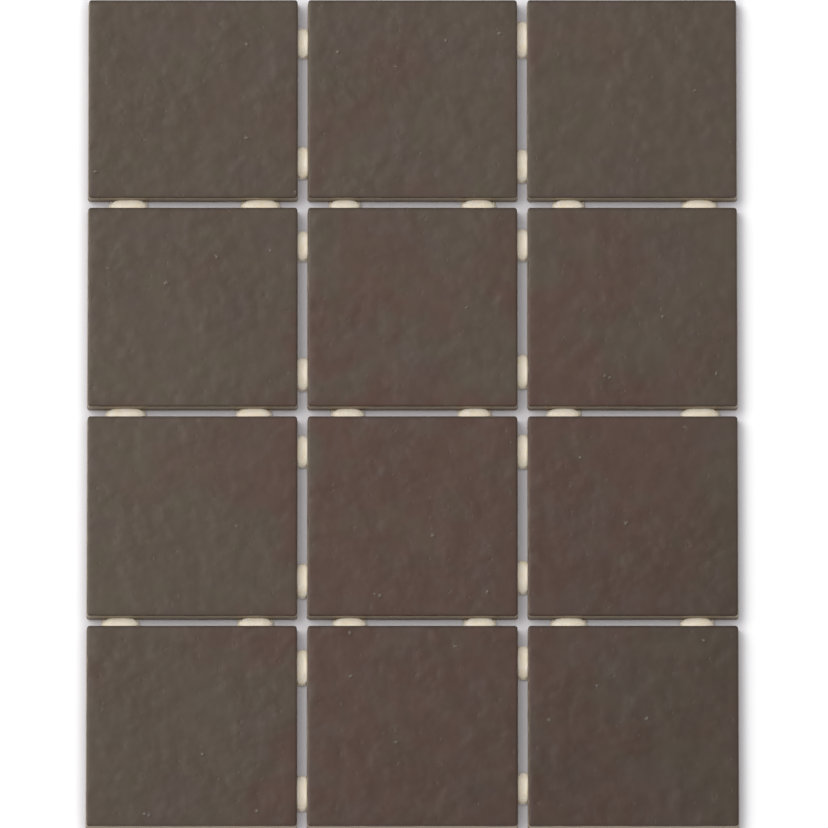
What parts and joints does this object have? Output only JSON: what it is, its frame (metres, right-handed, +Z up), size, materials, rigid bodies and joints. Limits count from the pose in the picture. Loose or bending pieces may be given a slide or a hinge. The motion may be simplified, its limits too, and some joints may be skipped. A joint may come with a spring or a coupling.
{
  "type": "dot-mounted sheet of ceramic wall tiles",
  "caption": "Sheet of square satin-glazed brown ceramic wall tiles with rolled edges, held a grout joint apart by dots of cream glue.",
  "frame": {"origin": "middle of the sheet, on the level plane that the bars of the tiles' backs rest on", "axes": "+Z up out of the glazed faces, +Y along the columns towards row 1, +X along the rows from column 1 to column 3"},
  "size_m": [0.3006, 0.4022, 0.007],
  "materials": {
    "tile_glaze": "satin",
    "dot_glue": "satin"
  },
  "bodies": {
    "root": {"tile_r1_c1": "tile_glaze", "tile_r1_c2": "tile_glaze", "tile_r1_c3": "tile_glaze", "tile_r2_c1": "tile_glaze", "tile_r2_c2": "tile_glaze", "tile_r2_c3": "tile_glaze", "tile_r3_c1": "tile_glaze", "tile_r3_c2": "tile_glaze", "tile_r3_c3": "tile_glaze", "tile_r4_c1": "tile_glaze", "tile_r4_c2": "tile_glaze", "tile_r4_c3": "tile_glaze", "dot_across_1_1": "dot_glue", "dot_across_1_2": "dot_glue", "dot_across_1_3": "dot_glue", "dot_across_1_4": "dot_glue", "dot_across_1_5": "dot_glue", "dot_across_1_6": "dot_glue", "dot_across_2_1": "dot_glue", "dot_across_2_2": "dot_glue", "dot_across_2_3": "dot_glue", "dot_across_2_4": "dot_glue", "dot_across_2_5": "dot_glue", "dot_across_2_6": "dot_glue", "dot_across_3_1": "dot_glue", "dot_across_3_2": "dot_glue", "dot_across_3_3": "dot_glue", "dot_across_3_4": "dot_glue", "dot_across_3_5": "dot_glue", "dot_across_3_6": "dot_glue", "dot_down_1_1": "dot_glue", "dot_down_1_2": "dot_glue", "dot_down_1_3": "dot_glue", "dot_down_1_4": "dot_glue", "dot_down_1_5": "dot_glue", "dot_down_1_6": "dot_glue", "dot_down_1_7": "dot_glue", "dot_down_1_8": "dot_glue", "dot_down_2_1": "dot_glue", "dot_down_2_2": "dot_glue", "dot_down_2_3": "dot_glue", "dot_down_2_4": "dot_glue", "dot_down_2_5": "dot_glue", "dot_down_2_6": "dot_glue", "dot_down_2_7": "dot_glue", "dot_down_2_8": "dot_glue"}
  },
  "joints": []
}
